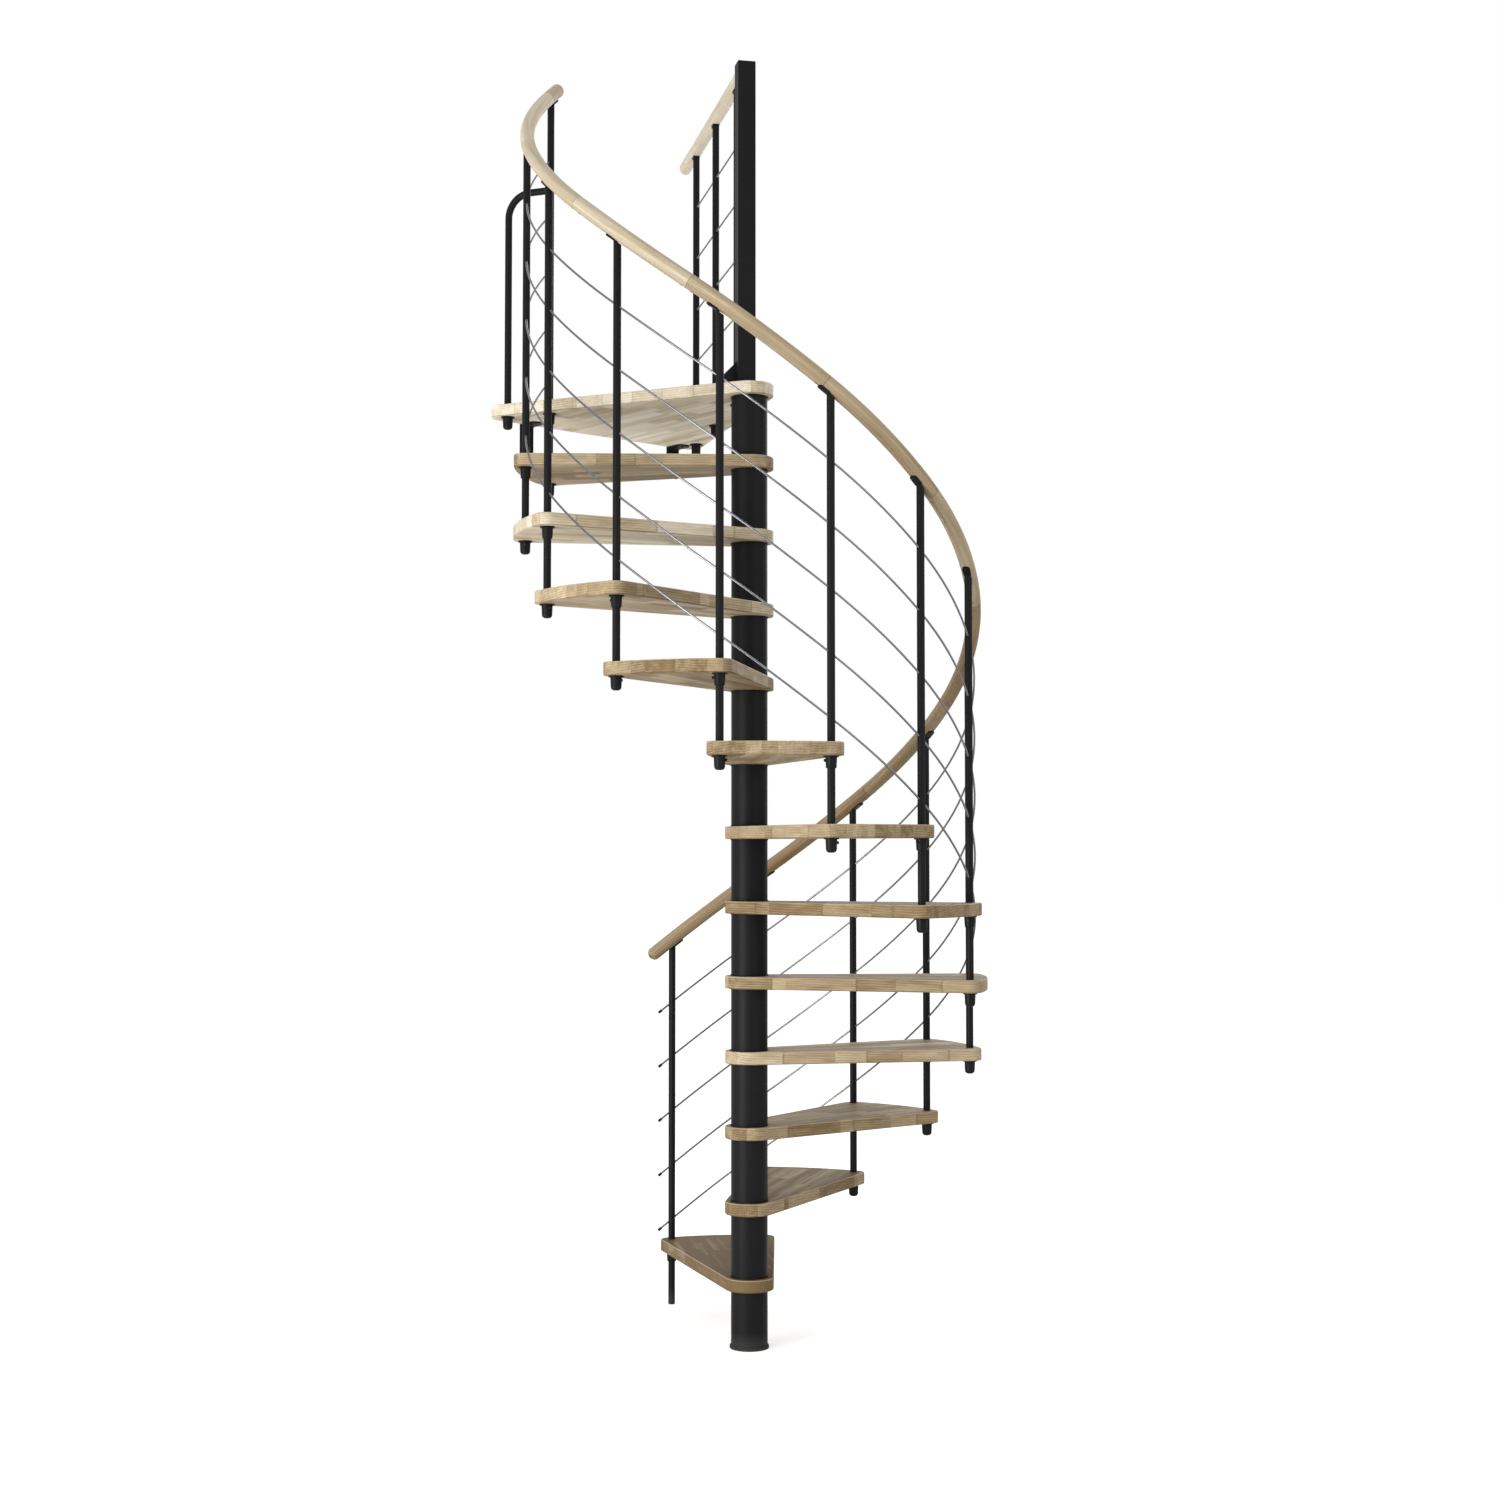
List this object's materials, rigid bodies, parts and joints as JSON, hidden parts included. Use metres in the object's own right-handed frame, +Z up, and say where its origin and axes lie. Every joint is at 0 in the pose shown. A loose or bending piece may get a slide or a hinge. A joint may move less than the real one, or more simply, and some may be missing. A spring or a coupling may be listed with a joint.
{
  "type": "spiral staircase",
  "caption": "Open spiral stair with wooden wedge treads on a central steel column, rod balustrade, round wooden handrail and top landing.",
  "frame": {"origin": "column axis at the underside of the floor plate, on the finished floor", "axes": "+Z up along the column, +Y out of the landing's exit edge; the climb turns clockwise seen from above"},
  "size_m": [1.4, 1.575, 3.8592],
  "materials": {
    "oak": "satin",
    "oak_rail": "satin",
    "black_steel": "satin",
    "black_fittings": "satin",
    "stainless": "brushed",
    "black_plastic": "satin"
  },
  "bodies": {
    "root": {"floor_plate": "black_steel", "centre_pole": "black_steel", "column_spacers": "black_steel", "tread_01": "oak", "tread_02": "oak", "tread_03": "oak", "tread_04": "oak", "tread_05": "oak", "tread_06": "oak", "tread_07": "oak", "tread_08": "oak", "tread_09": "oak", "tread_10": "oak", "tread_11": "oak", "tread_12": "oak", "landing": "oak", "baluster_01": "black_steel", "baluster_02": "black_steel", "baluster_03": "black_steel", "baluster_04": "black_steel", "baluster_05": "black_steel", "baluster_06": "black_steel", "baluster_07": "black_steel", "baluster_08": "black_steel", "baluster_09": "black_steel", "baluster_10": "black_steel", "baluster_11": "black_steel", "baluster_12": "black_steel", "baluster_13": "black_steel", "foot_plug": "black_plastic", "nose_collars": "black_fittings", "rear_sockets": "black_fittings", "landing_sockets": "black_fittings", "handrail": "oak_rail", "rod_1": "stainless", "rod_2": "stainless", "rod_3": "stainless", "rod_4": "stainless", "rod_5": "stainless", "rod_caps": "black_plastic", "rail_saddles": "black_fittings", "newel_foot": "black_steel", "newel_post": "black_steel", "newel_cap": "black_steel", "guard_posts": "black_steel", "guard_rail": "oak_rail", "guard_rods": "stainless", "landing_hoop": "black_steel", "wall_brackets": "black_steel"}
  },
  "joints": []
}
